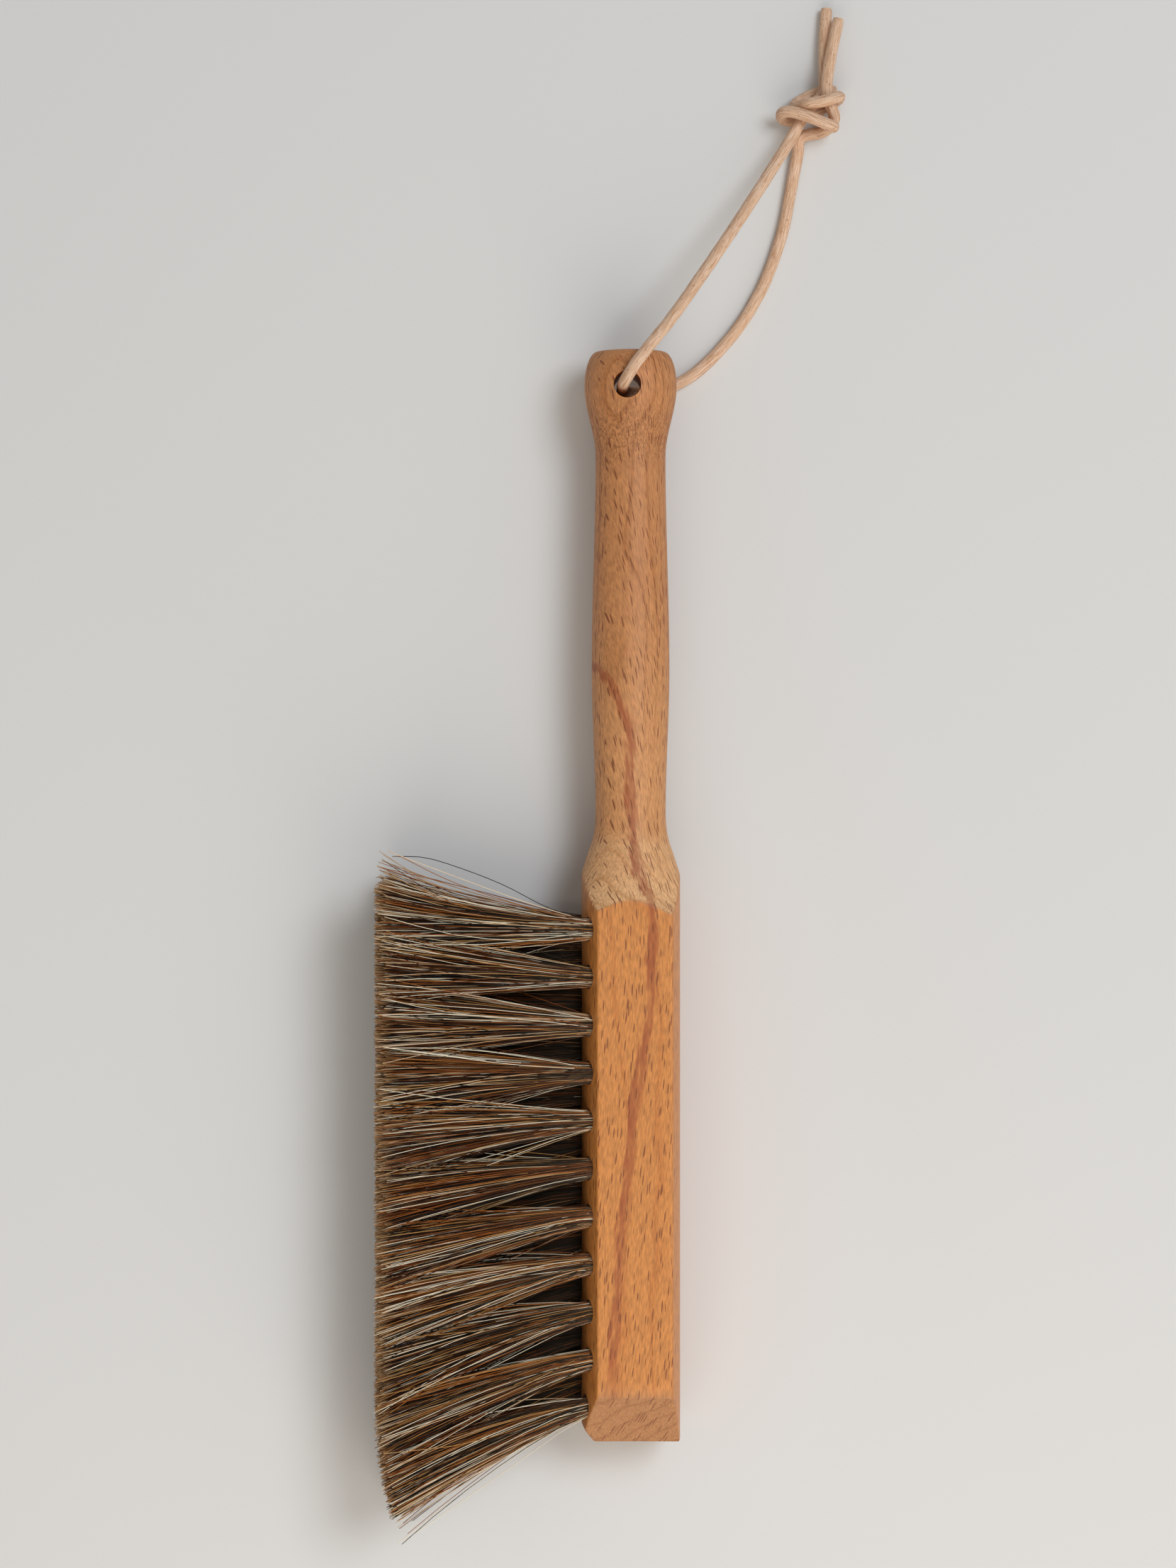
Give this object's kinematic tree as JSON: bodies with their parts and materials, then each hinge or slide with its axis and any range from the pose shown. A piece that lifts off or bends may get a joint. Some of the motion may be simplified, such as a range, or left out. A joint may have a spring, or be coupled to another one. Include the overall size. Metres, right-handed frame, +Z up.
{
  "type": "hand brush",
  "caption": "Hand brush: one-piece turned beech block and handle, staggered tufts of natural horse hair, and a knotted leather lace to hang it by.",
  "frame": {"origin": "on the flat side face that the brush lies on, straight under the wood's axis, at the middle of the block's length", "axes": "+Y along the handle towards its knob, +Z up, out of the upper side face; the hair points to -X"},
  "size_m": [0.1381, 0.4402, 0.0397],
  "materials": {
    "beech": "oiled",
    "horse_hair": "natural",
    "anchor_metal": "zinc plated",
    "leather_lace": "natural"
  },
  "bodies": {
    "brush": {"anchor_lower_01": "anchor_metal", "anchor_lower_02": "anchor_metal", "anchor_lower_03": "anchor_metal", "anchor_lower_04": "anchor_metal", "anchor_lower_05": "anchor_metal", "anchor_lower_06": "anchor_metal", "anchor_lower_07": "anchor_metal", "anchor_lower_08": "anchor_metal", "anchor_lower_09": "anchor_metal", "anchor_lower_10": "anchor_metal", "anchor_lower_11": "anchor_metal", "anchor_upper_01": "anchor_metal", "anchor_upper_02": "anchor_metal", "anchor_upper_03": "anchor_metal", "anchor_upper_04": "anchor_metal", "anchor_upper_05": "anchor_metal", "anchor_upper_06": "anchor_metal", "anchor_upper_07": "anchor_metal", "anchor_upper_08": "anchor_metal", "anchor_upper_09": "anchor_metal", "anchor_upper_10": "anchor_metal", "anchor_upper_11": "anchor_metal", "block_and_handle": "beech", "tuft_lower_01": "horse_hair", "tuft_lower_02": "horse_hair", "tuft_lower_03": "horse_hair", "tuft_lower_04": "horse_hair", "tuft_lower_05": "horse_hair", "tuft_lower_06": "horse_hair", "tuft_lower_07": "horse_hair", "tuft_lower_08": "horse_hair", "tuft_lower_09": "horse_hair", "tuft_lower_10": "horse_hair", "tuft_lower_11": "horse_hair", "tuft_middle_01": "horse_hair", "tuft_middle_02": "horse_hair", "tuft_middle_03": "horse_hair", "tuft_middle_04": "horse_hair", "tuft_middle_05": "horse_hair", "tuft_middle_06": "horse_hair", "tuft_middle_07": "horse_hair", "tuft_middle_08": "horse_hair", "tuft_middle_09": "horse_hair", "tuft_middle_10": "horse_hair", "tuft_upper_01": "horse_hair", "tuft_upper_02": "horse_hair", "tuft_upper_03": "horse_hair", "tuft_upper_04": "horse_hair", "tuft_upper_05": "horse_hair", "tuft_upper_06": "horse_hair", "tuft_upper_07": "horse_hair", "tuft_upper_08": "horse_hair", "tuft_upper_09": "horse_hair", "tuft_upper_10": "horse_hair", "tuft_upper_11": "horse_hair"},
    "lace": {"lace_front": "leather_lace", "lace_back": "leather_lace", "lace_knot": "leather_lace"}
  },
  "joints": [
    {"name": "lace_swing", "type": "hinge", "parent": "brush", "child": "lace", "pos_m": [-0.001, 0.2245, 0.018], "axis": [0, 0, 1], "range_deg": [-55, 120]}
  ]
}
